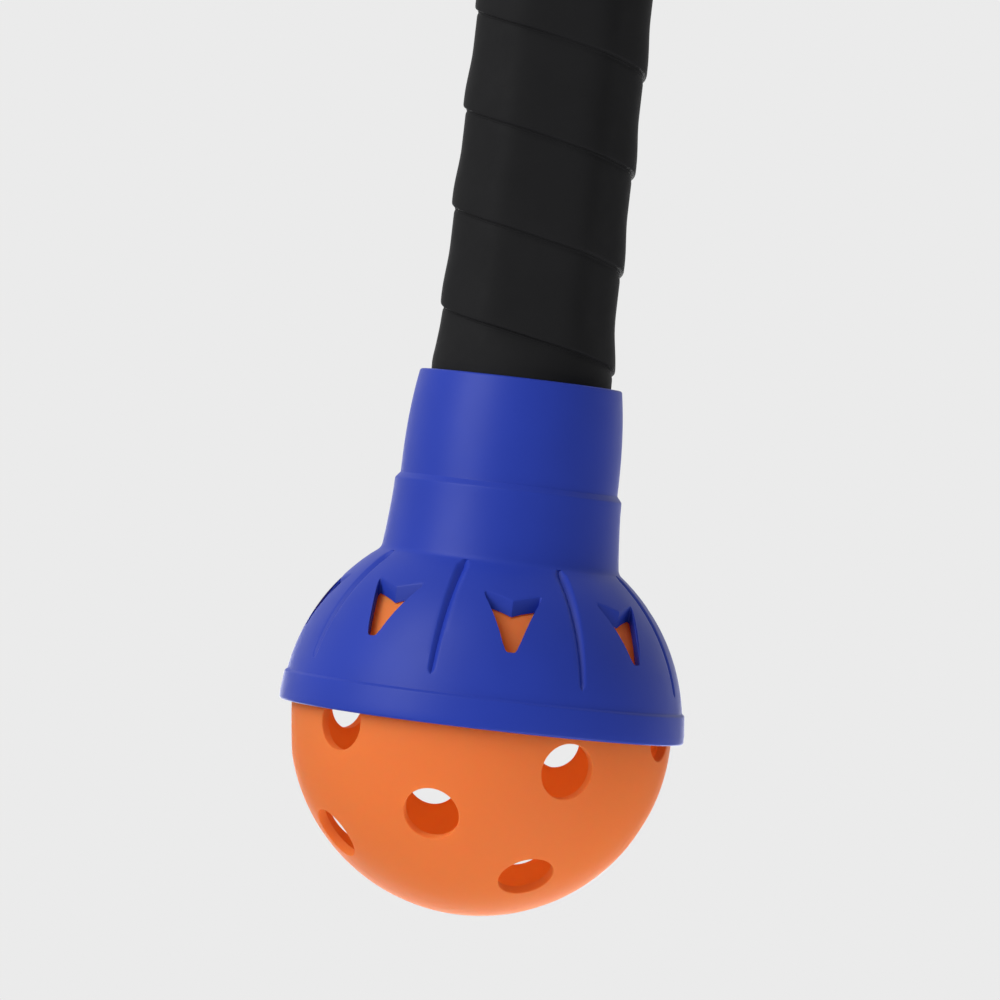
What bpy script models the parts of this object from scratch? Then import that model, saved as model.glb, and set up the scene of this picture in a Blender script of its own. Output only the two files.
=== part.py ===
"""Ball retriever: a silicone cup pushed on the butt of a wrapped paddle handle, holding a ball.

Metres, +Z up. The origin is the flat upper end of the handle's stem, where a paddle blade goes on.
The handle, the cup and the ball hang below it on one common axis, the world's Z axis.
The front of the object faces -Y.
"""

import math

import bmesh
import bpy
from mathutils import Euler, Matrix, Vector

# Air between neighbouring pieces
FIT_GAP = 0.0003

# Ball: two welded half shells, each with a hole at its pole and two rings of holes
BALL_DIAMETER = 0.0748
BALL_WALL = 0.0018
BALL_HOLE_DIAMETER = 0.0109
NEAR_RING_LATITUDE = math.radians(16.7)
NEAR_RING_COUNT = 8
FAR_RING_LATITUDE = math.radians(50.4)
FAR_RING_COUNT = 4
BALL_TURN = Euler((math.radians(2.8), math.radians(-23.8), 0.0), "XYZ")

# Cup: one silicone moulding, a sleeve and a neck above a bell
CUP_LENGTH = 0.0674
SKIRT_WALL = 0.0017
RIM_HEIGHT = 0.0056
RIM_PROUD = 0.00045
RIM_ABOVE_EQUATOR = 0.0007
EDGE_ROUND = 0.0005
SLEEVE_DEPTH = 0.0206
SLEEVE_LIP_WALL = 0.00185
SLEEVE_SWELL = 0.0015
SLEEVE_SWELL_POWER = 2.4
STEP_PROUD = 0.00095
STEP_HEIGHT = 0.0010
NECK_FLARE = 0.00105
NECK_FLARE_POWER = 1.5
BUTT_SEAT_WIDTH = 0.0030

# Windows and pleats of the bell, in turn around it; angles up its side are from the rim's plane
WINDOW_COUNT = 8
FIRST_WINDOW_TURN = math.radians(-83.7)
WINDOW_WIDTH = 0.0108
WINDOW_TIP_WIDTH = 0.0012
WINDOW_NOTCH = 0.0019
WINDOW_TOP_ANGLE = math.radians(42.6)
WINDOW_TIP_ANGLE = math.radians(22.6)
WINDOW_CUT_ANGLE = math.radians(58.0)
PLEAT_WIDTH = 0.0022
PLEAT_DEPTH = 0.0011
PLEAT_TOP_ANGLE = math.radians(52.5)
PLEAT_FOOT_ANGLE = math.radians(13.5)

# Handle: the paddle's sandwich stem between two pallets, closed by a butt cap
HANDLE_EXPOSED = 0.104
STEM_WIDTH = 0.0214
CORE_THICKNESS = 0.0096
FACE_SHEET_THICKNESS = 0.0008
PALLET_SIDE_WALL = 0.0030
PALLET_FACE_WALL = 0.0054
PALLET_CORNER_CUT = 0.0031
CORNER_FACET_ANGLE = math.radians(40.0)
CORNER_SHARPNESS = 14
PALLETS_BELOW_TOP = 0.008
BUTT_SKIRT_WALL = 0.0011
BUTT_SKIRT_LENGTH = 0.029
BUTT_SKIRT_EDGE_WALL = 0.0008
BUTT_FLANGE_HEIGHT = 0.0032
BUTT_FLOOR = 0.0025
BUTT_ROUND = 0.0012
FLARE_LENGTH = 0.012
STAPLE_WIDTH = 0.009
STAPLE_LEG = 0.0062
STAPLE_WIRE = 0.0008
STAPLES_BELOW_LIP = 0.006

# Wraps: a cushioned base grip, the thin overgrip wound over it, and the tape that ends it
BASE_GRIP_THICKNESS = 0.0017
BASE_GRIP_BUTT_THICKNESS = 0.00105
OVERGRIP_THICKNESS = 0.0007
OVERGRIP_PITCH = 0.0194
OVERGRIP_SEAM_HEIGHT = 0.0223
OVERGRIP_LAP = 0.0006
LAP_FADE = 0.003
WRAPS_BELOW_TOP = 0.012
TAPE_HEIGHT = 0.014
TAPE_THICKNESS = 0.0006

# Facets around a full turn, steps along curved outlines, a cutter's reach past what it cuts, and
# the angle between faces below which an edge is shaded smooth
CUP_FACETS = 64
BALL_FACETS = 40
HANDLE_FACETS = 48
HOLE_FACETS = 16
SLEEVE_STEPS = 5
NECK_STEPS = 4
BELL_STEPS = 10
POCKET_STEPS = 8
SHELL_OUTER_STEPS = 9
SHELL_INNER_STEPS = 7
PLEAT_STEPS = 6
FLARE_STEPS = 5
CUT_REACH = 0.002
PLEAT_CUT_REACH = 0.0006
SMOOTH_BELOW = math.radians(30.0)

# Worked out from the sizes above
BALL_RADIUS = BALL_DIAMETER / 2
LIP_Z = -HANDLE_EXPOSED
STEP_Z = LIP_Z - SLEEVE_DEPTH
RIM_Z = LIP_Z - CUP_LENGTH
BALL_Z = RIM_Z - RIM_ABOVE_EQUATOR
STACK_HALF = CORE_THICKNESS / 2 + FIT_GAP + FACE_SHEET_THICKNESS
PALLET_HALF_WIDTH = STEM_WIDTH / 2 + FIT_GAP + PALLET_SIDE_WALL
PALLET_HALF_DEPTH = STACK_HALF + FIT_GAP + PALLET_FACE_WALL
FRONT_FACET_HALF_WIDTH = STEM_WIDTH / 2 - PALLET_CORNER_CUT
BASE_GRIP_OFFSET = FIT_GAP + BASE_GRIP_THICKNESS
OVERGRIP_BORE_OFFSET = BASE_GRIP_OFFSET + FIT_GAP
OVERGRIP_OFFSET = OVERGRIP_BORE_OFFSET + OVERGRIP_THICKNESS
BUTT_SKIRT_RADIUS = PALLET_HALF_WIDTH + FIT_GAP + BUTT_SKIRT_WALL
BASE_GRIP_BUTT_RADIUS = BUTT_SKIRT_RADIUS + FIT_GAP + BASE_GRIP_BUTT_THICKNESS
OVERGRIP_BORE_BUTT_RADIUS = BASE_GRIP_BUTT_RADIUS + FIT_GAP
BUTT_RADIUS = OVERGRIP_BORE_BUTT_RADIUS + OVERGRIP_THICKNESS
POCKET_RADIUS = BALL_RADIUS + FIT_GAP
BELL_RADIUS = POCKET_RADIUS + SKIRT_WALL
SLEEVE_BORE_RADIUS = BUTT_RADIUS + FIT_GAP
SLEEVE_RADIUS = SLEEVE_BORE_RADIUS + SLEEVE_LIP_WALL + SLEEVE_SWELL
NECK_TOP_RADIUS = SLEEVE_RADIUS + STEP_PROUD
NECK_FOOT_RADIUS = NECK_TOP_RADIUS + NECK_FLARE
NECK_FOOT_ANGLE = math.acos(NECK_FOOT_RADIUS / BELL_RADIUS)
NECK_BORE_RADIUS = SLEEVE_BORE_RADIUS - BUTT_SEAT_WIDTH
SEAT_Z = STEP_Z - STEP_HEIGHT
BUTT_Z = SEAT_Z + FIT_GAP
FLANGE_TOP_Z = BUTT_Z + BUTT_FLANGE_HEIGHT
SKIRT_TOP_Z = BUTT_Z + BUTT_SKIRT_LENGTH
SKIRT_OFFSET = FIT_GAP + BUTT_SKIRT_EDGE_WALL
HANDLE_FOOT_Z = BUTT_Z + BUTT_FLOOR + FIT_GAP
WRAP_TOP_Z = -WRAPS_BELOW_TOP
WRAP_FOOT_Z = FLANGE_TOP_Z + FIT_GAP
TAPE_FOOT_Z = WRAP_TOP_Z - TAPE_HEIGHT


def clear_scene():
    """Remove every object that the file opened with."""
    for thing in list(bpy.data.objects):
        bpy.data.objects.remove(thing, do_unlink=True)


def plain_material(name, color, roughness, metallic=0.0):
    """A Principled material of one colour."""
    material = bpy.data.materials.new(name)
    material.use_nodes = True
    shader = material.node_tree.nodes["Principled BSDF"]
    shader.inputs["Base Color"].default_value = (*color, 1.0)
    shader.inputs["Roughness"].default_value = roughness
    shader.inputs["Metallic"].default_value = metallic
    return material


def add_piece(name, bm, material, parent=None):
    """Turn a bmesh into a smooth-shaded object with outward faces."""
    bmesh.ops.recalc_face_normals(bm, faces=bm.faces)
    mesh = bpy.data.meshes.new(name)
    bm.to_mesh(mesh)
    bm.free()
    mesh.materials.append(material)
    mesh.shade_smooth()
    mesh.set_sharp_from_angle(angle=SMOOTH_BELOW)
    piece = bpy.data.objects.new(name, mesh)
    bpy.context.scene.collection.objects.link(piece)
    piece.parent = parent
    return piece


def add_cutter(name, bm, parent=None):
    """A solid that only cuts others."""
    cutter = add_piece(name, bm, bpy.data.materials["cutter"], parent)
    cutter.hide_render = True
    cutter.display_type = "WIRE"
    return cutter


def cut(piece, cutter):
    """Subtract a cutter from a piece."""
    boolean = piece.modifiers.new(cutter.name, "BOOLEAN")
    boolean.operation = "DIFFERENCE"
    boolean.solver = "EXACT"
    boolean.object = cutter


def add_frame(name, height, turn=Euler((0, 0, 0)), parent=None):
    """An empty on the common axis that carries the pieces parented to it."""
    frame = bpy.data.objects.new(name, None)
    bpy.context.scene.collection.objects.link(frame)
    frame.location = (0, 0, height)
    frame.rotation_euler = turn
    frame.parent = parent
    return frame


def spun(outline, facets):
    """Spin a closed outline of (radius, height) points once around Z."""
    bm = bmesh.new()
    points = [bm.verts.new((radius, 0, height)) for radius, height in outline]
    edges = [bm.edges.new((points[i - 1], points[i])) for i in range(len(points))]
    bmesh.ops.spin(
        bm, geom=points + edges, axis=(0, 0, 1), cent=(0, 0, 0),
        angle=2 * math.pi, steps=facets, use_merge=True,
    )
    return bm


def lofted(rings, capped):
    """Join rings of equally many points by quads; cap both ends, or join the last to the first."""
    bm = bmesh.new()
    loops = [[bm.verts.new(point) for point in ring] for ring in rings]
    pairs = list(zip(loops, loops[1:]))
    if not capped:
        pairs.append((loops[-1], loops[0]))
    for upper, lower in pairs:
        for i in range(len(upper)):
            bm.faces.new((upper[i - 1], upper[i], lower[i], lower[i - 1]))
    if capped:
        bm.faces.new(loops[0])
        bm.faces.new(loops[-1])
    return bm


def prism(points, lift):
    """Extrude a flat closed outline of 3D points by a vector."""
    return lofted([points, [point + lift for point in points]], capped=True)


def box(width, depth, top, foot, middle_y=0.0):
    """An upright block centred on the X axis."""
    outline = [
        Vector((x * width / 2, middle_y + y * depth / 2, foot))
        for x, y in ((-1, -1), (1, -1), (1, 1), (-1, 1))
    ]
    return prism(outline, Vector((0, 0, top - foot)))


def arc(radius, centre_z, start, end, steps):
    """Points (radius, height) on a circle around a point of the axis, from angle start to end."""
    angles = [start + (end - start) * i / steps for i in range(steps + 1)]
    return [(radius * math.cos(a), centre_z + radius * math.sin(a)) for a in angles]


def ease(share):
    """Smooth step from 0 to 1."""
    share = min(max(share, 0.0), 1.0)
    return share * share * (3 - 2 * share)


def grip_radius(turn, offset):
    """Radius of the pallets' soft octagon, pushed out by an offset."""
    across = abs(math.cos(turn))
    along = abs(math.sin(turn))
    lean_x = math.cos(CORNER_FACET_ANGLE)
    lean_y = math.sin(CORNER_FACET_ANGLE)
    corner = FRONT_FACET_HALF_WIDTH * lean_x + PALLET_HALF_DEPTH * lean_y
    facets = (
        across / (PALLET_HALF_WIDTH + offset),
        (across * lean_x + along * lean_y) / (corner + offset),
        along / (PALLET_HALF_DEPTH + offset),
    )
    return sum(facet**CORNER_SHARPNESS for facet in facets) ** (-1 / CORNER_SHARPNESS)


def wrap_radius(turn, z, offset, butt_radius):
    """Radius of a layer that flares from the octagon to the round butt at the cup's lip."""
    share = ease((LIP_Z + FLARE_LENGTH - z) / FLARE_LENGTH)
    return (1 - share) * grip_radius(turn, offset) + share * butt_radius


def handle_ring(z, offset, butt_radius=None):
    """A ring of points around a layer of the handle; with no butt radius it doesn't flare."""
    ring = []
    for i in range(HANDLE_FACETS):
        turn = 2 * math.pi * i / HANDLE_FACETS
        radius = grip_radius(turn, offset)
        if butt_radius is not None:
            radius = wrap_radius(turn, z, offset, butt_radius)
        ring.append(Vector((radius * math.cos(turn), radius * math.sin(turn), z)))
    return ring


def round_ring(z, radius):
    """A round ring with the handle's facets."""
    turns = [2 * math.pi * i / HANDLE_FACETS for i in range(HANDLE_FACETS)]
    return [Vector((radius * math.cos(turn), radius * math.sin(turn), z)) for turn in turns]


def flare_heights(top, foot):
    """Heights from top to foot, with steps through the flare above the lip."""
    flare = [LIP_Z + FLARE_LENGTH * (1 - i / FLARE_STEPS) for i in range(FLARE_STEPS + 1)]
    inside = [z for z in flare if foot + FIT_GAP < z < top - FIT_GAP]
    return [top, *inside, foot]


def build_stem(material_core, material_sheet):
    """The paddle's core and its two face sheets, which run down inside the handle."""
    add_piece("stem_core", box(STEM_WIDTH, CORE_THICKNESS, 0.0, HANDLE_FOOT_Z), material_core)
    middle = CORE_THICKNESS / 2 + FIT_GAP + FACE_SHEET_THICKNESS / 2
    for name, side in (("front_face_sheet", -1), ("back_face_sheet", 1)):
        sheet = box(STEM_WIDTH, FACE_SHEET_THICKNESS, 0.0, HANDLE_FOOT_Z, side * middle)
        add_piece(name, sheet, material_sheet)


def build_pallet(name, side, channel, material):
    """One of the two foam half shells that close around the stem and give it its grip shape."""
    rings = [handle_ring(z, 0.0) for z in (-PALLETS_BELOW_TOP, HANDLE_FOOT_Z)]
    bm = lofted(rings, capped=True)
    bmesh.ops.bisect_plane(
        bm, geom=bm.verts[:] + bm.edges[:] + bm.faces[:], dist=FIT_GAP / 10,
        plane_co=(0, side * FIT_GAP / 2, 0), plane_no=(0, -side, 0), clear_outer=True,
    )
    rim = [edge for edge in bm.edges if edge.is_boundary]
    bmesh.ops.contextual_create(bm, geom=rim)
    pallet = add_piece(name, bm, material)
    cut(pallet, channel)
    return pallet


def build_butt_cap(material):
    """The moulded cap over the handle's end: a skirt, a flange and a floor."""
    rings = [handle_ring(BUTT_Z + BUTT_FLOOR, FIT_GAP), handle_ring(SKIRT_TOP_Z, FIT_GAP)]
    rings += [
        handle_ring(z, SKIRT_OFFSET, BUTT_SKIRT_RADIUS)
        for z in flare_heights(SKIRT_TOP_Z, FLANGE_TOP_Z)
    ]
    rings.append(round_ring(FLANGE_TOP_Z, BUTT_RADIUS))
    for quarter in (0, math.pi / 4, math.pi / 2):
        drop = BUTT_ROUND * (1 - math.sin(quarter))
        inset = BUTT_ROUND * (1 - math.cos(quarter))
        rings.append(round_ring(BUTT_Z + drop, BUTT_RADIUS - inset))
    return add_piece("butt_cap", lofted(rings, capped=True), material)


def staple_outline(side, grow, reach):
    """A U around one staple, grown by a gap, with its crown pushed outwards by a reach."""
    crown_y = math.sqrt(BUTT_SKIRT_RADIUS**2 - (STAPLE_WIDTH / 2) ** 2)
    outer_x = STAPLE_WIDTH / 2 + grow
    inner_x = STAPLE_WIDTH / 2 - STAPLE_WIRE - grow
    back_y = crown_y + reach
    belly_y = crown_y - STAPLE_WIRE - grow
    tip_y = crown_y - STAPLE_LEG - grow
    corners = (
        (-outer_x, back_y), (outer_x, back_y), (outer_x, tip_y), (inner_x, tip_y),
        (inner_x, belly_y), (-inner_x, belly_y), (-inner_x, tip_y), (-outer_x, tip_y),
    )
    foot = LIP_Z - STAPLES_BELOW_LIP - STAPLE_WIRE / 2 - grow
    return [Vector((x, side * y, foot)) for x, y in corners]


def build_staple(name, side, butt_cap, pallet, material):
    """A wire staple that holds the butt cap to a pallet, in a slot cut for it through both."""
    wire = prism(staple_outline(side, 0.0, 0.0), Vector((0, 0, STAPLE_WIRE)))
    add_piece(name, wire, material)
    slot_height = STAPLE_WIRE + 2 * FIT_GAP
    slot = prism(staple_outline(side, FIT_GAP, CUT_REACH), Vector((0, 0, slot_height)))
    cutter = add_cutter(name + "_slot", slot)
    cut(butt_cap, cutter)
    cut(pallet, cutter)


def build_base_grip(material):
    """The cushioned grip that the paddle came with, under the overgrip."""
    above_skirt = SKIRT_TOP_Z + FIT_GAP
    rings = [
        handle_ring(z, BASE_GRIP_OFFSET, BASE_GRIP_BUTT_RADIUS)
        for z in flare_heights(WRAP_TOP_Z, WRAP_FOOT_Z)
    ]
    rings += [
        handle_ring(z, SKIRT_OFFSET + FIT_GAP, BUTT_SKIRT_RADIUS + FIT_GAP)
        for z in reversed(flare_heights(above_skirt, WRAP_FOOT_Z))
    ]
    rings += [handle_ring(above_skirt, FIT_GAP), handle_ring(WRAP_TOP_Z, FIT_GAP)]
    add_piece("base_grip", lofted(rings, capped=False), material)


def lap_height(z):
    """How far the overgrip's laps stand out at a height: none in the cup or under the tape."""
    above_lip = ease((z - LIP_Z) / LAP_FADE)
    below_tape = ease((TAPE_FOOT_Z - z) / LAP_FADE)
    return OVERGRIP_LAP * above_lip * below_tape


def build_overgrip(material):
    """The thin tape, wound down the handle so that each turn's lower edge laps the next turn."""
    # Share of the pitch below a seam, and share of the lap's height there
    across_tape = ((0.0, 0.0), (0.45, 0.0), (0.70, 0.65), (0.88, 1.0), (0.96, 1.0))
    turns_above = math.ceil((WRAP_TOP_Z - LIP_Z - OVERGRIP_SEAM_HEIGHT) / OVERGRIP_PITCH) + 1
    turns_below = math.ceil((LIP_Z + OVERGRIP_SEAM_HEIGHT - WRAP_FOOT_Z) / OVERGRIP_PITCH) + 1
    start_z = LIP_Z + OVERGRIP_SEAM_HEIGHT + turns_above * OVERGRIP_PITCH
    stations = (turns_above + turns_below) * HANDLE_FACETS

    bm = bmesh.new()
    strip = []
    for i in range(stations + 1):
        turn = 2 * math.pi * i / HANDLE_FACETS
        row = []
        for fall, rise in across_tape:
            z = start_z - OVERGRIP_PITCH * (i / HANDLE_FACETS + fall)
            radius = wrap_radius(turn, z, OVERGRIP_OFFSET, BUTT_RADIUS) + rise * lap_height(z)
            row.append(bm.verts.new((radius * math.cos(turn), radius * math.sin(turn), z)))
        strip.append(row)
    for row, following in zip(strip, strip[1:]):
        for j in range(len(across_tape) - 1):
            bm.faces.new((row[j], row[j + 1], following[j + 1], following[j]))
    for i in range(stations - HANDLE_FACETS):
        edge, next_edge = strip[i][-1], strip[i + 1][-1]
        seam, next_seam = strip[i + HANDLE_FACETS][0], strip[i + HANDLE_FACETS + 1][0]
        bm.faces.new((edge, seam, next_seam, next_edge))

    for end_z, outward in ((WRAP_TOP_Z, 1), (WRAP_FOOT_Z, -1)):
        bmesh.ops.bisect_plane(
            bm, geom=bm.verts[:] + bm.edges[:] + bm.faces[:], dist=FIT_GAP / 10,
            plane_co=(0, 0, end_z), plane_no=(0, 0, outward), clear_outer=True,
        )
        rim = [edge for edge in bm.edges if edge.is_boundary and edge_lies_at(edge, end_z)]
        bmesh.ops.contextual_create(bm, geom=rim)
    overgrip = add_piece("overgrip", bm, material)

    bore = [
        handle_ring(z, OVERGRIP_BORE_OFFSET, OVERGRIP_BORE_BUTT_RADIUS)
        for z in flare_heights(WRAP_TOP_Z + CUT_REACH, WRAP_FOOT_Z - CUT_REACH)
    ]
    cut(overgrip, add_cutter("overgrip_bore", lofted(bore, capped=True)))


def edge_lies_at(edge, z):
    """Whether both ends of an edge lie at a height."""
    return all(abs(vert.co.z - z) < FIT_GAP / 2 for vert in edge.verts)


def build_finishing_tape(material):
    """The tape around the overgrip's upper end."""
    inner = OVERGRIP_OFFSET + FIT_GAP
    outer = inner + TAPE_THICKNESS
    rings = [
        handle_ring(WRAP_TOP_Z, inner), handle_ring(WRAP_TOP_Z, outer),
        handle_ring(TAPE_FOOT_Z, outer), handle_ring(TAPE_FOOT_Z, inner),
    ]
    add_piece("finishing_tape", lofted(rings, capped=False), material)


def cup_outline():
    """The cup's section, down its outside and up its inside."""
    lip_radius = SLEEVE_BORE_RADIUS + SLEEVE_LIP_WALL
    outline = [(SLEEVE_BORE_RADIUS, LIP_Z), (lip_radius - EDGE_ROUND, LIP_Z)]
    for i in range(SLEEVE_STEPS + 1):
        share = i / SLEEVE_STEPS
        radius = SLEEVE_RADIUS - SLEEVE_SWELL * (1 - share) ** SLEEVE_SWELL_POWER
        outline.append((radius, LIP_Z - EDGE_ROUND - (SLEEVE_DEPTH - EDGE_ROUND) * share))
    step_round = math.pi / 4
    outline.append((
        SLEEVE_RADIUS + STEP_PROUD * math.sin(step_round),
        STEP_Z - STEP_HEIGHT * (1 - math.cos(step_round)),
    ))
    neck_top = STEP_Z - STEP_HEIGHT
    neck_foot = RIM_Z + BELL_RADIUS * math.sin(NECK_FOOT_ANGLE)
    for i in range(NECK_STEPS):
        share = i / NECK_STEPS
        radius = NECK_TOP_RADIUS + NECK_FLARE * share**NECK_FLARE_POWER
        outline.append((radius, neck_top + (neck_foot - neck_top) * share))

    band_top_angle = math.asin((RIM_HEIGHT + RIM_PROUD) / BELL_RADIUS)
    outline += arc(BELL_RADIUS, RIM_Z, NECK_FOOT_ANGLE, band_top_angle, BELL_STEPS)
    band_radius = BELL_RADIUS + RIM_PROUD
    outline += [
        (math.sqrt(band_radius**2 - RIM_HEIGHT**2), RIM_Z + RIM_HEIGHT),
        (band_radius, RIM_Z + EDGE_ROUND),
        (band_radius - EDGE_ROUND, RIM_Z),
    ]

    mouth_angle = math.asin(RIM_ABOVE_EQUATOR / POCKET_RADIUS)
    crown_angle = math.acos(NECK_BORE_RADIUS / POCKET_RADIUS)
    outline += arc(POCKET_RADIUS, BALL_Z, mouth_angle, crown_angle, POCKET_STEPS)
    outline += [(NECK_BORE_RADIUS, SEAT_Z), (SLEEVE_BORE_RADIUS, SEAT_Z)]
    return outline


def window_cutter(turn):
    """A prism with the outline of one window: a triangle on its tip with a notched top."""
    across = Vector((-math.sin(turn), math.cos(turn), 0))
    outward = Vector((math.cos(turn), math.sin(turn), 0))
    upward = Vector((0, 0, 1))
    drill = outward * math.cos(WINDOW_CUT_ANGLE) + upward * math.sin(WINDOW_CUT_ANGLE)
    rise = upward * math.cos(WINDOW_CUT_ANGLE) - outward * math.sin(WINDOW_CUT_ANGLE)
    top = -BELL_RADIUS * math.sin(WINDOW_CUT_ANGLE - WINDOW_TOP_ANGLE)
    tip = -BELL_RADIUS * math.sin(WINDOW_CUT_ANGLE - WINDOW_TIP_ANGLE)
    start = POCKET_RADIUS * math.cos(WINDOW_CUT_ANGLE - WINDOW_TIP_ANGLE) - CUT_REACH
    base = Vector((0, 0, RIM_Z)) + drill * start
    corners = (
        (-WINDOW_WIDTH / 2, top), (0, top - WINDOW_NOTCH), (WINDOW_WIDTH / 2, top),
        (WINDOW_TIP_WIDTH / 2, tip), (-WINDOW_TIP_WIDTH / 2, tip),
    )
    outline = [base + across * side + rise * height for side, height in corners]
    return prism(outline, drill * (BELL_RADIUS + CUT_REACH - start))


def pleat_cutter(turn):
    """A tapering wedge down the bell's outside; its keel rises out of the wall at the foot."""
    across = Vector((-math.sin(turn), math.cos(turn), 0))
    outward = Vector((math.cos(turn), math.sin(turn), 0))
    centre = Vector((0, 0, RIM_Z))
    flank = PLEAT_WIDTH / 2 / PLEAT_DEPTH
    rings = []
    for i in range(PLEAT_STEPS + 1):
        share = i / PLEAT_STEPS
        angle = PLEAT_TOP_ANGLE + (PLEAT_FOOT_ANGLE - PLEAT_TOP_ANGLE) * share
        normal = outward * math.cos(angle) + Vector((0, 0, math.sin(angle)))
        depth = PLEAT_DEPTH * (1 - share)
        spread = across * flank * (depth + PLEAT_CUT_REACH)
        keel = centre + normal * (BELL_RADIUS - depth)
        edge = centre + normal * (BELL_RADIUS + PLEAT_CUT_REACH)
        rings.append([keel, edge + spread, edge - spread])
    return lofted(rings, capped=True)


def build_cup(material, parent):
    """The retriever itself: sleeve, neck and bell in one silicone moulding."""
    cup = add_piece("retriever_cup", spun(cup_outline(), CUP_FACETS), material, parent)
    spacing = 2 * math.pi / WINDOW_COUNT
    for i in range(WINDOW_COUNT):
        turn = FIRST_WINDOW_TURN + spacing * i
        cut(cup, add_cutter(f"window_{i + 1}_cutter", window_cutter(turn), parent))
        cut(cup, add_cutter(f"pleat_{i + 1}_cutter", pleat_cutter(turn + spacing / 2), parent))


def half_shell_outline():
    """Section of a half shell, from the hole at its pole to the seam and back inside."""
    inner_radius = BALL_RADIUS - BALL_WALL
    hole_radius = BALL_HOLE_DIAMETER / 2
    seam = FIT_GAP / 2
    outer_pole = math.acos(hole_radius / BALL_RADIUS)
    inner_pole = math.acos(hole_radius / inner_radius)
    outer_seam = math.asin(seam / BALL_RADIUS)
    inner_seam = math.asin(seam / inner_radius)
    outer = arc(BALL_RADIUS, 0, outer_pole, outer_seam, SHELL_OUTER_STEPS)
    return outer + arc(inner_radius, 0, inner_seam, inner_pole, SHELL_INNER_STEPS)


def hole_cutters():
    """Round plugs through the two rings of holes of a half shell."""
    bm = bmesh.new()
    start = BALL_RADIUS - BALL_WALL - CUT_REACH
    length = BALL_WALL + 2 * CUT_REACH
    rings = (
        (NEAR_RING_LATITUDE, NEAR_RING_COUNT, 0.0),
        (FAR_RING_LATITUDE, FAR_RING_COUNT, math.pi / NEAR_RING_COUNT),
    )
    for latitude, count, first in rings:
        for i in range(count):
            turn = first + 2 * math.pi * i / count
            place = (
                Matrix.Rotation(turn, 4, "Z")
                @ Matrix.Rotation(math.pi / 2 - latitude, 4, "Y")
                @ Matrix.Translation((0, 0, start + length / 2))
            )
            bmesh.ops.create_cone(
                bm, cap_ends=True, segments=HOLE_FACETS, radius1=BALL_HOLE_DIAMETER / 2,
                radius2=BALL_HOLE_DIAMETER / 2, depth=length, matrix=place,
            )
    return bm


def build_ball(material, parent):
    """Two alike half shells, the lower one turned over and staggered by half a hole spacing."""
    stagger = -math.pi / NEAR_RING_COUNT
    over = (Matrix.Rotation(math.pi, 3, "X") @ Matrix.Rotation(stagger, 3, "Z")).to_euler()
    for name, turn in (("ball_upper_half", Euler((0, 0, 0))), ("ball_lower_half", over)):
        frame = add_frame(name + "_frame", 0.0, turn, parent)
        half = add_piece(name, spun(half_shell_outline(), BALL_FACETS), material, frame)
        cut(half, add_cutter(name + "_holes", hole_cutters(), frame))


def build_handle():
    """The butt end of the paddle's handle."""
    core = plain_material("honeycomb_core", (0.60, 0.60, 0.57), 0.7)
    sheet = plain_material("face_sheet", (0.03, 0.03, 0.035), 0.4)
    foam = plain_material("pallet_foam", (0.32, 0.32, 0.31), 0.8)
    cap_plastic = plain_material("butt_cap_plastic", (0.03, 0.03, 0.03), 0.5)
    steel = plain_material("staple_steel", (0.6, 0.6, 0.6), 0.3, 1.0)
    base = plain_material("base_grip_foam", (0.05, 0.05, 0.05), 0.7)
    tape = plain_material("overgrip_tape", (0.02, 0.02, 0.021), 0.6)
    finish = plain_material("finishing_tape_vinyl", (0.015, 0.015, 0.015), 0.35)
    build_stem(core, sheet)
    butt_cap = build_butt_cap(cap_plastic)
    channel = box(
        STEM_WIDTH + 2 * FIT_GAP, 2 * (STACK_HALF + FIT_GAP), CUT_REACH, HANDLE_FOOT_Z - CUT_REACH
    )
    channel = add_cutter("stem_channel", channel)
    for name, side in (("front", -1), ("back", 1)):
        pallet = build_pallet(name + "_pallet", side, channel, foam)
        build_staple(name + "_staple", side, butt_cap, pallet, steel)
    build_base_grip(base)
    build_overgrip(tape)
    build_finishing_tape(finish)


def main():
    clear_scene()
    plain_material("cutter", (1.0, 0.0, 1.0), 1.0)
    build_handle()
    cup_frame = add_frame("cup_slide", LIP_Z)
    cup_pieces = add_frame("cup_pieces", -LIP_Z, parent=cup_frame)
    build_cup(plain_material("cup_silicone", (0.03, 0.06, 0.42), 0.5), cup_pieces)
    ball_frame = add_frame("ball_slide", BALL_Z - LIP_Z, BALL_TURN, cup_frame)
    build_ball(plain_material("ball_plastic", (0.85, 0.18, 0.05), 0.45), ball_frame)


if __name__ == "__main__":
    main()
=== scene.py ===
"""Ball retriever on a paddle handle: fine shapes, finishes, stage, camera and light.

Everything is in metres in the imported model's own frame: +Z up along the common axis of the
handle, the cup and the ball, the front towards -Y, the origin on the flat top of the stem.
"""

import math

import bpy
from bpy.props import FloatProperty, FloatVectorProperty, IntProperty, PointerProperty
from bpy.types import Operator, Panel, PropertyGroup
from mathutils import Euler, Matrix, Vector


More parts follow.
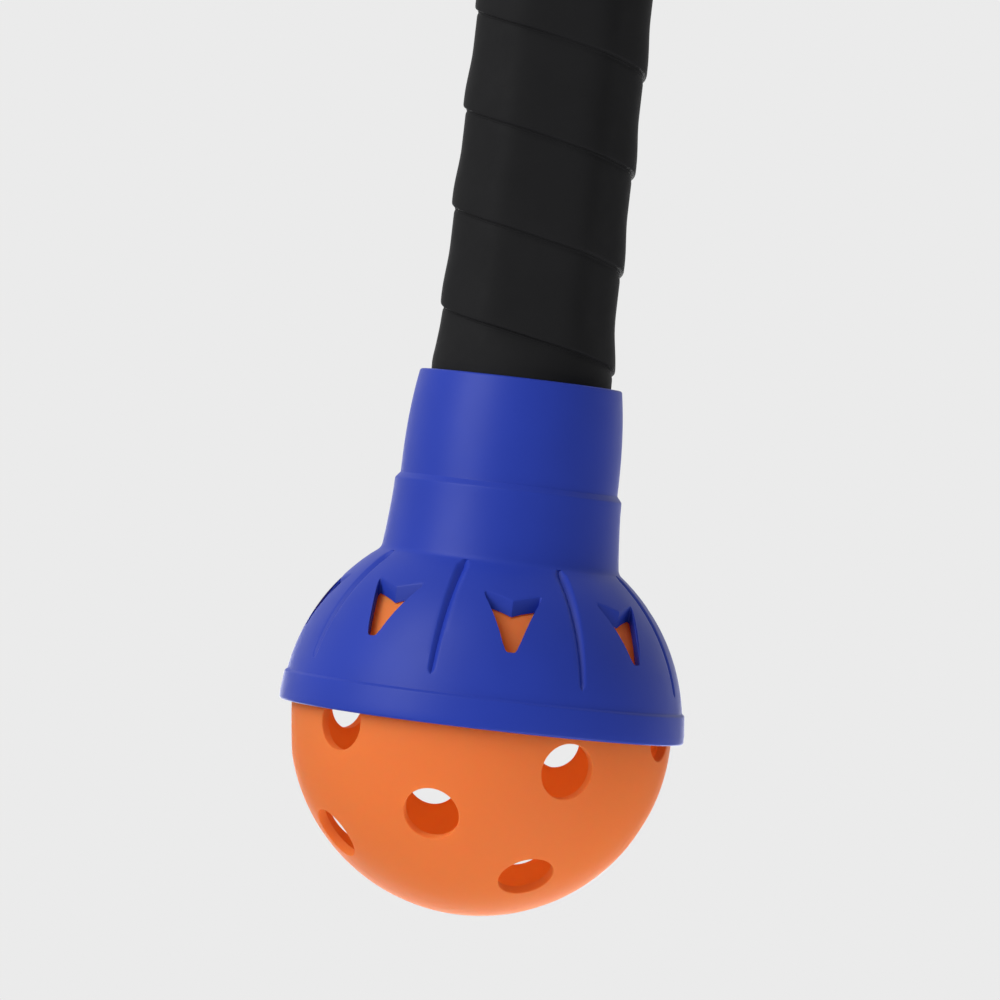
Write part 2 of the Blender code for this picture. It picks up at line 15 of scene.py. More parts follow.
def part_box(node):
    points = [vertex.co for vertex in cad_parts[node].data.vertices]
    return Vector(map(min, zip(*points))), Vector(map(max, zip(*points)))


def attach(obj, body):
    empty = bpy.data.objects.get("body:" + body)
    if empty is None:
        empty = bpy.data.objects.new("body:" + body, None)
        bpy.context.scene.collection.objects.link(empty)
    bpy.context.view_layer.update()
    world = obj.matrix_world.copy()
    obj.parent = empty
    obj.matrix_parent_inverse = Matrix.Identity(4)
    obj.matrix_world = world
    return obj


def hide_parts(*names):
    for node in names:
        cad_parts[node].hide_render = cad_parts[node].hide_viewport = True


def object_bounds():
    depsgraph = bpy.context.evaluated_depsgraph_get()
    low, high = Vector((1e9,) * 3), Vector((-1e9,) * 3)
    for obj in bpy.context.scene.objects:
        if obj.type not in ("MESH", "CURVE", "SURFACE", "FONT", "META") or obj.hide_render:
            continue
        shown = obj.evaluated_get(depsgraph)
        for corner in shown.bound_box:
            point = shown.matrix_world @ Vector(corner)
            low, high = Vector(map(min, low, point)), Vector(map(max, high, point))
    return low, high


bl_info = {
    "name": "Ball Retriever",
    "version": (1, 0, 0),
    "blender": (4, 5, 0),
    "location": "3D Viewport > Sidebar > Ball Retriever",
    "description": "Models and finishes a silicone ball retriever on a paddle handle",
    "category": "Object",
}

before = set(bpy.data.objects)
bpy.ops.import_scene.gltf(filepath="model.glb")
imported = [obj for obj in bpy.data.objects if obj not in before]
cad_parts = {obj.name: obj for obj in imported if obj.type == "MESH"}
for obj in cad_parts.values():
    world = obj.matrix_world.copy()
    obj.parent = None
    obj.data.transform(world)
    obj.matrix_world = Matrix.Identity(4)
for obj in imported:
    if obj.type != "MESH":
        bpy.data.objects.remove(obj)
PACKED_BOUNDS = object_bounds()

CUP_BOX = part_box("retriever_cup")
WRAP_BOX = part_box("overgrip")
TAPE_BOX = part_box("finishing_tape")

MM = 0.001
FULL_TURN = 2 * math.pi
MERGE_DISTANCE = 0.001 * MM
# A torus primitive has at most this many segments, and more would leave a wrap open
MAX_WRAP_FACETS = 256

# Heights of the cup's lip and rim, and of the wraps' ends
LIP_Z = CUP_BOX[1].z
RIM_Z = CUP_BOX[0].z
WRAP_TOP_Z = WRAP_BOX[1].z
WRAP_FOOT_Z = WRAP_BOX[0].z
TAPE_FOOT_Z = TAPE_BOX[0].z

# Cup: the radii and heights of its section
SLEEVE_BORE_RADIUS = 18.05 * MM
SLEEVE_LIP_RADIUS = 19.9 * MM
SLEEVE_RADIUS = 21.4 * MM
SLEEVE_SWELL_POWER = 2.4
STEP_Z = LIP_Z - 20.6 * MM
STEP_HEIGHT = 1.0 * MM
STEP_SLOPE_HEIGHT = 1.15 * MM
NECK_TOP_RADIUS = 22.35 * MM
NECK_FOOT_RADIUS = 23.4 * MM
NECK_FLARE_POWER = 1.5
NECK_BORE_RADIUS = 15.05 * MM
BELL_RADIUS = 39.4 * MM
POCKET_RADIUS = 37.7 * MM
RIM_PROUD = 0.45 * MM
RIM_HEIGHT = 5.6 * MM
CUP_FACETS = 224

# Cup: the roundings of its section, and the steps along its curves
STEP_ROUND = 0.25 * MM
SHOULDER_ROUND = 0.7 * MM
NECK_FOOT_ROUND = 2.0 * MM
BAND_FOOT_ROUND = 0.3 * MM
BAND_TOP_ROUND = 0.5 * MM
MOUTH_ROUND = 0.25 * MM
CROWN_ROUND = 0.5 * MM
SEAT_ROUND = 0.3 * MM
SLEEVE_STEPS = 24
NECK_STEPS = 15
BELL_STEPS = 56
POCKET_STEPS = 40
# The bell's arc starts this much below the neck, which leaves room for the rounding there
BELL_START_GAP = 0.06

# Windows: where they stand, how they are pulled from the mould, and their corners
WINDOW_COUNT = 8
FIRST_WINDOW_TURN = math.radians(-83.7)
WINDOW_CUT_ANGLE = math.radians(85.0)
WINDOW_TOP_ROUND = 0.3 * MM
WINDOW_NOTCH_ROUND = 0.5 * MM
WINDOW_TIP_ROUND = 0.9 * MM
CUT_REACH = 2.0 * MM
# How far out and how high above the surface each ring of a window's plug stands, in shares
# of the edge's rounding; the last one is well clear of the surface
WINDOW_FLARE = ((0.0, -1.0), (0.1, -0.4), (0.45, 0.0), (1.0, 0.3), (1.0, 12.0))

# Pleats: half of a keel's section, to the side and up, in shares of its half width and depth
PLEAT_FLARE = ((0.0, -1.0), (0.6, -0.42), (0.9, -0.16), (1.15, -0.035), (1.4, 0.03), (1.6, 0.5))
PLEAT_STEPS = 36
# A pleat's size at its top, the share of its length that would give it a full size more,
# and the share in which it ends bluntly, down to its last size
PLEAT_START_SIZE = 0.4
PLEAT_GROWTH_SHARE = 0.1
PLEAT_END_SHARE = 0.06
PLEAT_END_SIZE = 0.05

# Ball: where it sits, how it is turned, and its holes
BALL_Z = RIM_Z - 0.7 * MM
BALL_RADIUS = 37.4 * MM
BALL_TURN = Euler((math.radians(2.8), math.radians(-23.8), 0.0), "XYZ")
NEAR_RING_LATITUDE = math.radians(16.7)
NEAR_RING_COUNT = 8
FAR_RING_LATITUDE = math.radians(50.4)
FAR_RING_COUNT = 4
BALL_SEGMENTS = 192
BALL_RINGS = 96
HOLE_FACETS = 64

# Handle: the soft octagon under the wraps and the round butt that they flare to
OCTAGON_HALF_WIDTH = 14.0 * MM
OCTAGON_HALF_DEPTH = 11.6 * MM
OCTAGON_FRONT_HALF = 7.6 * MM
OCTAGON_CORNER_ANGLE = math.radians(40.0)
OCTAGON_SHARPNESS = 14
BUTT_RADIUS = 17.75 * MM
FLARE_LENGTH = 12.0 * MM
BASE_GRIP_OFFSETS = (0.3 * MM, 2.0 * MM)
BASE_GRIP_BUTT_RADII = (15.7 * MM, 16.75 * MM)
BASE_GRIP_OVER_SKIRT = 1.4 * MM
BASE_GRIP_EDGE = 0.35 * MM
BASE_GRIP_FACETS = 144
BASE_GRIP_FLARE_STEPS = 12
SKIRT_TOP_Z = LIP_Z + 8.0 * MM
SKIRT_STEPS = 6
OVERGRIP_OFFSET = 3.0 * MM
SEAM_HEIGHT = 22.3 * MM
LAP_FADE = 3.0 * MM

# Across the overgrip's tape: share of the pitch below a seam, and share of the lap's height.
# It starts in the crease under the turn above, lies flat, ramps up, and ends in its own edge.
WRAP_CREASE = ((0.0, -0.1), (0.004, -0.28), (0.02, -0.28), (0.036, -0.08), (0.055, 0.0))
WRAP_FLAT = ((0.2, 0.0), (0.38, 0.0))
WRAP_RAMP_LENGTH = 0.5
WRAP_RAMP_STEPS = 8
WRAP_EDGE = (
    (0.925, 1.0), (0.952, 0.97), (0.967, 0.86), (0.973, 0.7), (0.976, 0.5), (0.978, 0.2),
    (0.982, -0.1), (1.0, -0.1),
)
# Slow waves of the wound edge: how high, how many radians to a radian of turn, and the start
EDGE_WANDER = ((0.11 * MM, 2.3, 0.7), (0.066 * MM, 5.1, 2.0))
EDGE_UNEVENNESS = ((0.07, 3.7, 1.1), (0.05, 8.9, 0.0))

# Finishing tape: its inner and outer offset from the octagon, its edge, and its own end
TAPE_OFFSETS = (3.3 * MM, 3.9 * MM)
TAPE_EDGE = 0.12 * MM
TAPE_END_STEP = 0.2 * MM
TAPE_END_TURN = math.radians(248.5)
TAPE_FACETS = 240
TAPE_SHARP_ANGLE = 20.0

# The photograph's framing: 5.1 pixels to a millimetre in a picture 1000 pixels wide
PICTURE_WIDTH = 1000 / 5.1 * MM
CAMERA_TARGET = Vector((-1.4 * MM, 0.0, -127.9 * MM))
SENSOR_WIDTH_MM = 36.0
CAMERA_CLIP_START = 0.01

# The floor, and how much of what the camera sees of it is the backdrop's own colour
FLOOR_RADIUS = 5.0
FLOOR_FACETS = 128
FLOOR_BACKDROP_SHARE = 0.8

# The lamps' places and sizes in metres; each one faces the camera's target
KEY_LIGHT = ((-0.78, -0.62, 0.33), (0.7, 1.2))
LOW_LIGHT = ((0.46, -0.3, -0.84), (0.8, 0.8))
BACK_LIGHT = ((-0.02, 0.82, -0.46), (0.7, 0.7))


def linear(hex_color):
    """The linear colour of an sRGB hex value such as #2B3FAE."""
    channels = [int(hex_color[i:i + 2], 16) / 255 for i in (1, 3, 5)]
    return tuple(
        c / 12.92 if c <= 0.04045 else ((c + 0.055) / 1.055) ** 2.4 for c in channels
    )


def color_property(name, description, hex_color):
    """A colour that a user can change."""
    return FloatVectorProperty(
        name=name, description=description, subtype="COLOR", size=3, min=0, max=1,
        default=linear(hex_color),
    )


def length_property(name, description, millimetres):
    """A length that a user can change."""
    return FloatProperty(
        name=name, description=description, unit="LENGTH", subtype="DISTANCE", min=0,
        precision=5, default=millimetres * MM,
    )


def angle_property(name, description, degrees):
    """An angle that a user can change."""
    return FloatProperty(
        name=name, description=description, unit="ROTATION", subtype="ANGLE",
        default=math.radians(degrees),
    )


def level_property(name, description, level):
    """A light's level; 1 shows white as white."""
    return FloatProperty(name=name, description=description, default=level, min=0, max=4)


class CupSettings(PropertyGroup):
    window_width: length_property("Window width", "Width of a window at its top", 11.6)
    window_tip: length_property("Window tip", "Width of a window at its rounded tip", 2.0)
    window_notch: length_property("Window notch", "Depth of the V in a window's top", 1.9)
    window_top: angle_property("Window top", "Angle of a window's top above the rim", 42.6)
    window_foot: angle_property("Window foot", "Angle of a window's tip above the rim", 22.6)
    pleat_width: length_property("Pleat width", "Width of a pleat at its top", 2.4)
    pleat_depth: length_property("Pleat depth", "Depth of a pleat at its top", 1.05)
    pleat_top: angle_property("Pleat top", "Angle of a pleat's top above the rim", 52.9)
    pleat_foot: angle_property("Pleat foot", "Angle of a pleat's foot above the rim", 13.5)
    pleat_taper: FloatProperty(
        name="Pleat taper", description="Share of its depth that a pleat loses towards its foot",
        default=0.45, min=0.0, max=1.0,
    )
    edge_round: length_property("Edge radius", "Rounding of the lip and the rim", 0.55)
    cut_round: length_property("Window edge", "Rounding of a window's edge", 0.16)
    color: color_property("Silicone", "Colour of the silicone", "#263DAA")


class BallSettings(PropertyGroup):
    wall: length_property("Wall", "Thickness of the shell", 1.8)
    hole_diameter: length_property("Hole", "Diameter of a hole", 10.9)
    hole_edge: length_property("Hole edge", "Chamfer around a hole", 0.16)
    color: color_property("Plastic", "Colour of the ball's plastic", "#FF9552")


class HandleSettings(PropertyGroup):
    pitch: length_property("Pitch", "Height of one turn of the overgrip", 19.4)
    lap: length_property("Lap", "How far a lapped edge stands out", 0.6)
    wall: length_property("Wall", "Thickness of the overgrip", 0.7)
    facets: IntProperty(name="Facets", description="Facets of a turn", default=192, min=24)
    color: color_property("Overgrip", "Colour of the overgrip", "#1D1D1E")


class StageSettings(PropertyGroup):
    distance: length_property("Distance", "From the camera to the object", 1100.0)
    lean: angle_property("Lean", "How far the camera leans", 6.7)
    floor_drop: length_property("Floor drop", "From the ball down to the floor", 900.0)
    backdrop: color_property("Backdrop", "Colour behind the object", "#EBEBEB")
    world_level: level_property("World", "Level of the light from all round", 0.24)
    key_level: level_property("Key light", "Level of the light from the left", 1.0)
    low_level: level_property("Low light", "Level of the light from below", 0.62)
    back_level: level_property("Back light", "Level of the light from behind", 0.9)


# Modelling helpers


def select_only(piece):
    """Deselect everything and make one piece selected and active."""
    bpy.ops.object.select_all(action="DESELECT")
    piece.select_set(True)
    bpy.context.view_layer.objects.active = piece


def outline_ring(name, points, filled=False):
    """A circle primitive whose vertices are moved to the points of an outline."""
    bpy.ops.object.select_all(action="DESELECT")
    fill = "NGON" if filled else "NOTHING"
    bpy.ops.mesh.primitive_circle_add(vertices=len(points), fill_type=fill)
    ring = bpy.context.object
    ring.name = name
    for vertex, point in zip(ring.data.vertices, points):
        vertex.co = point
    return ring


def spin_round(piece, steps):
    """Spin an outline once around Z into a closed body."""
    select_only(piece)
    bpy.ops.object.mode_set(mode="EDIT")
    bpy.ops.mesh.select_all(action="SELECT")
    bpy.ops.mesh.spin(steps=steps, angle=FULL_TURN, center=(0, 0, 0), axis=(0, 0, 1))
    bpy.ops.mesh.select_all(action="SELECT")
    bpy.ops.mesh.remove_doubles(threshold=MERGE_DISTANCE)
    bpy.ops.mesh.normals_make_consistent(inside=False)
    bpy.ops.object.mode_set(mode="OBJECT")


def closed_wrap(name, rings, facets):
    """A torus primitive whose loops are moved to rings; a ring gives (radius, z) for a turn."""
    bpy.ops.object.select_all(action="DESELECT")
    if facets > MAX_WRAP_FACETS:
        raise ValueError(f"{name}: a wrap has at most {MAX_WRAP_FACETS} facets")
    bpy.ops.mesh.primitive_torus_add(major_segments=facets, minor_segments=len(rings))
    wrap = bpy.context.object
    wrap.name = name
    for vertex in wrap.data.vertices:
        step, ring = divmod(vertex.index, len(rings))
        turn = FULL_TURN * step / facets
        radius, z = rings[ring](turn)
        vertex.co = (radius * math.cos(turn), radius * math.sin(turn), z)
    select_only(wrap)
    bpy.ops.object.mode_set(mode="EDIT")
    bpy.ops.mesh.select_all(action="SELECT")
    bpy.ops.mesh.normals_make_consistent(inside=False)
    bpy.ops.object.mode_set(mode="OBJECT")
    return wrap


def copies_at(piece, places):
    """Copies of a piece, each with its own mesh moved by a matrix; the original goes."""
    copies = []
    for place in places:
        copy = piece.copy()
        copy.data = piece.data.copy()
        copy.data.transform(place)
        bpy.context.scene.collection.objects.link(copy)
        copies.append(copy)
    bpy.data.objects.remove(piece, do_unlink=True)
    return copies


def joined(pieces):
    """Several meshes joined into one."""
    bpy.ops.object.select_all(action="DESELECT")
    for piece in pieces:
        piece.select_set(True)
    bpy.context.view_layer.objects.active = pieces[0]
    bpy.ops.object.join()
    return bpy.context.object


def apply_modifier(piece, kind, **settings):
    """Add a modifier and apply it."""
    select_only(piece)
    modifier = piece.modifiers.new(kind.lower(), kind)
    for name, value in settings.items():
        setattr(modifier, name, value)
    bpy.ops.object.modifier_apply(modifier=modifier.name)


def carve(piece, cutter):
    """Cut one mesh out of another, and remove the cutter."""
    apply_modifier(piece, "BOOLEAN", operation="DIFFERENCE", solver="EXACT", object=cutter)
    bpy.data.objects.remove(cutter, do_unlink=True)


def finish_piece(piece, name, body, nodes, material, angle=30.0):
    """Name, shade and dress a piece, and put it in its nodes' place on its body."""
    select_only(piece)
    piece.name = name
    bpy.ops.object.shade_smooth_by_angle(angle=math.radians(angle))
    piece.data.materials.clear()
    piece.data.materials.append(material)
    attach(piece, body)
    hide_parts(*nodes)


def rounded(corners, steps=6):
    """Points of a closed outline of (x, y, radius) corners with each corner rounded."""
    points = []
    for i, (x, y, radius) in enumerate(corners):
        here = Vector((x, y))
        before = Vector(corners[i - 1][:2]) - here
        after = Vector(corners[(i + 1) % len(corners)][:2]) - here
        if radius == 0:
            points.append(here)
            continue
        half = before.angle(after) / 2
        run = min(radius / math.tan(half), before.length * 0.49, after.length * 0.49)
        radius = run * math.tan(half)
        start = here + before.normalized() * run
        end = here + after.normalized() * run
        middle = (before.normalized() + after.normalized()).normalized()
        centre = here + middle * (radius / math.sin(half))
        sweep = (start - centre).angle_signed(end - centre)
        for step in range(steps + 1):
            turn = Matrix.Rotation(-sweep * step / steps, 2)
            points.append(centre + turn @ (start - centre))
    return points


def arc(radius, centre_z, start, end, steps):
    """Corners (radius, height, no rounding) on a circle around a point of the axis."""
    angles = [start + (end - start) * i / steps for i in range(steps + 1)]
    return [(radius * math.cos(a), centre_z + radius * math.sin(a), 0.0) for a in angles]


def ease(share):
    """Smooth step from 0 to 1."""
    share = min(max(share, 0.0), 1.0)
    return share * share * (3 - 2 * share)


# Material helpers


def add_node(tree, kind, inputs=None, **settings):
    """Add a node with its settings; an input is a value, or a socket to link from."""
    node = tree.nodes.new(kind)
    for name, value in settings.items():
        setattr(node, name, value)
    for name, value in (inputs or {}).items():
        if isinstance(value, bpy.types.NodeSocket):
            tree.links.new(value, node.inputs[name])
        else:
            node.inputs[name].default_value = value
    return node


def new_material(name, **sockets):
    """A Principled material with its sockets set; returns it, its tree and its shader."""
    material = bpy.data.materials.new(name)
    material.use_nodes = True
    tree = material.node_tree
    shader = tree.nodes["Principled BSDF"]
    for label, value in sockets.items():
        shader.inputs[label.replace("_", " ")].default_value = value
    return material, tree, shader


def grain(tree, size_mm, detail=2.0, roughness=0.5):
    """Noise on Object coordinates with grains of a size in millimetres."""
    place = add_node(tree, "ShaderNodeTexCoord").outputs["Object"]
    noise = add_node(
        tree, "ShaderNodeTexNoise",
        {"Vector": place, "Scale": 1 / (size_mm * MM), "Detail": detail, "Roughness": roughness},
    )
    return noise.outputs["Fac"]


def linked_color(tree, shader, factor, dark, light):
    """Base colour that wanders between two colours by a factor."""
    mix = add_node(tree, "ShaderNodeMix", {0: factor}, data_type="RGBA")
    mix.inputs[6].default_value = (*dark, 1)
    mix.inputs[7].default_value = (*light, 1)
    tree.links.new(mix.outputs[2], shader.inputs["Base Color"])


def linked_range(tree, socket, factor, low, high):
    """A socket that wanders between two values by a factor."""
    spread = add_node(
        tree, "ShaderNodeMapRange", {"Value": factor, "To Min": low, "To Max": high},
    )
    tree.links.new(spread.outputs["Result"], socket)


def linked_bump(tree, shader, height, strength, depth_mm):
    """A bump from a height, its depth in millimetres."""
    bump = add_node(
        tree, "ShaderNodeBump",
        {"Height": height, "Strength": strength, "Distance": depth_mm * MM},
    )
    tree.links.new(bump.outputs["Normal"], shader.inputs["Normal"])


def shade_of(color, share):
    """A darker or lighter shade of a colour."""
    return tuple(min(channel * share, 1.0) for channel in color)


def moulded_silicone(color):
    """Silicone rubber from a satin mould: soft broad highlights that never turn glassy."""
    material, tree, shader = new_material(
        "moulded_silicone", IOR=1.41, Specular_IOR_Level=0.28,
    )
    linked_color(tree, shader, grain(tree, 16.0), shade_of(color, 0.9), shade_of(color, 1.06))
    linked_range(tree, shader.inputs["Roughness"], grain(tree, 5.0), 0.40, 0.48)
    linked_bump(tree, shader, grain(tree, 0.5), 0.3, 0.02)
    return material


def ball_plastic(color):
    """Thin moulded polyethylene: waxy, and light through the wall makes the inside glow."""
    material, tree, shader = new_material(
        "moulded_polyethylene", IOR=1.5, Specular_IOR_Level=0.07,
        Subsurface_Weight=0.4, Subsurface_Scale=1.0 * MM,
    )
    shader.inputs["Subsurface Radius"].default_value = (1.0, 0.3, 0.12)
    linked_color(tree, shader, grain(tree, 18.0), shade_of(color, 0.97), shade_of(color, 1.03))
    linked_range(tree, shader.inputs["Roughness"], grain(tree, 4.0), 0.5, 0.6)
    linked_bump(tree, shader, grain(tree, 0.7), 0.25, 0.02)
    through = add_node(tree, "ShaderNodeBsdfTranslucent", {"Color": (*shade_of(color, 1.6), 1)})
    mix = add_node(
        tree, "ShaderNodeMixShader", {0: 0.36, 1: shader.outputs[0], 2: through.outputs[0]},
    )
    tree.links.new(mix.outputs[0], tree.nodes["Material Output"].inputs["Surface"])
    return material


def overgrip_tape(color):
    """Coated polyurethane tape: dull and dry, with a fine tacky grain."""
    material, tree, shader = new_material(
        "coated_grip_tape", IOR=1.48, Specular_IOR_Level=0.07,
    )
    linked_color(tree, shader, grain(tree, 9.0), shade_of(color, 0.85), shade_of(color, 1.15))
    linked_range(tree, shader.inputs["Roughness"], grain(tree, 2.5), 0.6, 0.72)
    linked_bump(tree, shader, grain(tree, 0.4, detail=3.0), 0.4, 0.03)
    return material


def cushioned_grip(color):
    """Foamed grip with a fine open grain on its cut edges."""
    material, tree, shader = new_material("cushioned_grip", Specular_IOR_Level=0.2)
    base = linear(color)
    linked_color(tree, shader, grain(tree, 1.2), shade_of(base, 0.7), shade_of(base, 1.3))
    linked_range(tree, shader.inputs["Roughness"], grain(tree, 2.0), 0.7, 0.85)
    linked_bump(tree, shader, grain(tree, 0.35), 0.6, 0.08)
    return material


def stretched_vinyl(color):
    """Vinyl tape pulled tight: smooth and glossier than the grip, with faint stretch lines."""
    material, tree, shader = new_material("stretched_vinyl", Specular_IOR_Level=0.16)
    base = linear(color)
    place = add_node(tree, "ShaderNodeTexCoord").outputs["Object"]
    lines = add_node(
        tree, "ShaderNodeTexWave",
        {"Vector": place, "Scale": 90.0, "Distortion": 6.0, "Detail": 2.0},
        bands_direction="Z",
    )
    linked_color(tree, shader, grain(tree, 6.0), shade_of(base, 0.85), shade_of(base, 1.2))
    linked_range(tree, shader.inputs["Roughness"], grain(tree, 3.0), 0.3, 0.42)
    linked_bump(tree, shader, lines.outputs["Fac"], 0.2, 0.03)
    return material


def cut_honeycomb(color):
    """Polymer honeycomb sawn across its cells: pale walls in rows, with painted shade in the
    hollows between them.
    """
    material, tree, shader = new_material("cut_honeycomb", Specular_IOR_Level=0.3)
    base = linear(color)
    place = add_node(tree, "ShaderNodeTexCoord").outputs["Object"]
    cells = add_node(
        tree, "ShaderNodeTexVoronoi",
        {"Vector": place, "Scale": 1 / (3.6 * MM), "Randomness": 0.35},
        feature="DISTANCE_TO_EDGE",
    )
    walls = add_node(
        tree, "ShaderNodeMapRange",
        {"Value": cells.outputs["Distance"], "From Max": 0.12, "To Min": 1.0, "To Max": 0.0},
    ).outputs["Result"]
    # Painted shade: the hollows of the cells are darkened to 0.45 of the colour, while the walls
    # keep the plastic's own colour
    linked_color(tree, shader, walls, shade_of(base, 0.45), base)
    linked_range(tree, shader.inputs["Roughness"], grain(tree, 1.0), 0.55, 0.7)
    linked_bump(tree, shader, walls, 0.7, 0.3)
    return material


def laminated_sheet(color):
    """Carbon laminate: dark and satin, with the faint rib of its plain weave."""
    material, tree, shader = new_material("laminated_sheet", Specular_IOR_Level=0.45)
    base = linear(color)
    place = add_node(tree, "ShaderNodeTexCoord").outputs["Object"]
    weave = add_node(
        tree, "ShaderNodeTexChecker", {"Vector": place, "Scale": 1 / (1.6 * MM)},
    ).outputs["Fac"]
    linked_color(tree, shader, weave, shade_of(base, 0.8), shade_of(base, 1.25))
    linked_range(tree, shader.inputs["Roughness"], weave, 0.34, 0.44)
    linked_bump(tree, shader, grain(tree, 0.4), 0.3, 0.02)
    return material


def moulded_foam(color):
    """Closed-cell foam: grey, matte and pitted by its bubbles."""
    material, tree, shader = new_material("moulded_foam", Specular_IOR_Level=0.2)
    base = linear(color)
    place = add_node(tree, "ShaderNodeTexCoord").outputs["Object"]
    bubbles = add_node(
        tree, "ShaderNodeTexVoronoi", {"Vector": place, "Scale": 1 / (0.7 * MM)},
    ).outputs["Distance"]
    linked_color(tree, shader, grain(tree, 2.0), shade_of(base, 0.85), shade_of(base, 1.1))
    linked_range(tree, shader.inputs["Roughness"], bubbles, 0.75, 0.9)
    linked_bump(tree, shader, bubbles, 0.5, 0.12)
    return material


def spark_eroded_plastic(color):
    """Plastic from a spark-eroded mould: an even, fine matte grain."""
    material, tree, shader = new_material("spark_eroded_plastic", Specular_IOR_Level=0.35)
    base = linear(color)
    linked_color(tree, shader, grain(tree, 7.0), shade_of(base, 0.85), shade_of(base, 1.15))
    linked_range(tree, shader.inputs["Roughness"], grain(tree, 1.5), 0.45, 0.6)
    linked_bump(tree, shader, grain(tree, 0.25), 0.5, 0.03)
    return material


def drawn_wire(color):
    """Drawn steel wire: bright, with fine scratches from the die."""
    material, tree, shader = new_material("drawn_wire", Metallic=1.0)
    base = linear(color)
    linked_color(tree, shader, grain(tree, 3.0), shade_of(base, 0.85), base)
    linked_range(tree, shader.inputs["Roughness"], grain(tree, 0.3), 0.22, 0.4)
    linked_bump(tree, shader, grain(tree, 0.15), 0.4, 0.01)
    return material


# The cup


def cup_section(settings):
    """Corners of the cup's section, down its outside and up its inside."""
    soft = settings.edge_round
    seat_z = STEP_Z - STEP_HEIGHT
    corners = [
        (SLEEVE_BORE_RADIUS, LIP_Z, soft * 0.6),
        (SLEEVE_LIP_RADIUS, LIP_Z, soft),
    ]
    for i in range(1, SLEEVE_STEPS):
        share = i / SLEEVE_STEPS
        swell = (SLEEVE_RADIUS - SLEEVE_LIP_RADIUS) * (1 - share) ** SLEEVE_SWELL_POWER
        corners.append((SLEEVE_RADIUS - swell, LIP_Z + (STEP_Z - LIP_Z) * share, 0.0))
    corners += [
        (SLEEVE_RADIUS, STEP_Z, STEP_ROUND),
        (NECK_TOP_RADIUS, STEP_Z - STEP_SLOPE_HEIGHT, SHOULDER_ROUND),
    ]
    neck_angle = math.acos(NECK_FOOT_RADIUS / BELL_RADIUS)
    neck_top = STEP_Z - STEP_SLOPE_HEIGHT
    neck_foot = RIM_Z + BELL_RADIUS * math.sin(neck_angle)
    for i in range(2, NECK_STEPS - 2):
        share = i / NECK_STEPS
        flare = (NECK_FOOT_RADIUS - NECK_TOP_RADIUS) * share ** NECK_FLARE_POWER
        corners.append((NECK_TOP_RADIUS + flare, neck_top + (neck_foot - neck_top) * share, 0.0))
    corners.append((NECK_FOOT_RADIUS, neck_foot, NECK_FOOT_ROUND))

    band_angle = math.asin((RIM_HEIGHT + RIM_PROUD) / BELL_RADIUS)
    bell = arc(BELL_RADIUS, RIM_Z, neck_angle - BELL_START_GAP, band_angle, BELL_STEPS)
    corners += bell[:-1]
    band_radius = BELL_RADIUS + RIM_PROUD
    band_top = math.sqrt(BELL_RADIUS ** 2 - (RIM_HEIGHT + RIM_PROUD) ** 2)
    corners += [
        (band_top, RIM_Z + RIM_HEIGHT + RIM_PROUD, BAND_FOOT_ROUND),
        (math.sqrt(band_radius ** 2 - RIM_HEIGHT ** 2), RIM_Z + RIM_HEIGHT, BAND_TOP_ROUND),
        (band_radius, RIM_Z + RIM_HEIGHT / 3, 0.0),
        (band_radius, RIM_Z, soft),
    ]
    mouth = math.asin((RIM_Z - BALL_Z) / POCKET_RADIUS)
    crown = math.acos(NECK_BORE_RADIUS / POCKET_RADIUS)
    inner = arc(POCKET_RADIUS, BALL_Z, mouth, crown, POCKET_STEPS)
    inner[0] = (*inner[0][:2], MOUTH_ROUND)
    inner[-1] = (*inner[-1][:2], CROWN_ROUND)
    corners += inner
    corners += [(NECK_BORE_RADIUS, seat_z, SEAT_ROUND), (SLEEVE_BORE_RADIUS, seat_z, SEAT_ROUND)]
    return corners


def stacked_cutter(name, rings):
    """A filled outline extruded through rings of points, from its first to its last."""
    cutter = outline_ring(name, rings[0], filled=True)
    select_only(cutter)
    bpy.ops.object.mode_set(mode="EDIT")
    bpy.ops.mesh.select_all(action="SELECT")
    for _ in rings[1:]:
        bpy.ops.mesh.extrude_region_move(TRANSFORM_OT_translate={"value": (0, 0, -1 * MM)})
    bpy.ops.object.mode_set(mode="OBJECT")
    for vertex, point in zip(cutter.data.vertices, [p for ring in rings for p in ring]):
        vertex.co = point
    select_only(cutter)
    bpy.ops.object.mode_set(mode="EDIT")
    bpy.ops.mesh.select_all(action="SELECT")
    bpy.ops.mesh.normals_make_consistent(inside=False)
    bpy.ops.object.mode_set(mode="OBJECT")
    return cutter


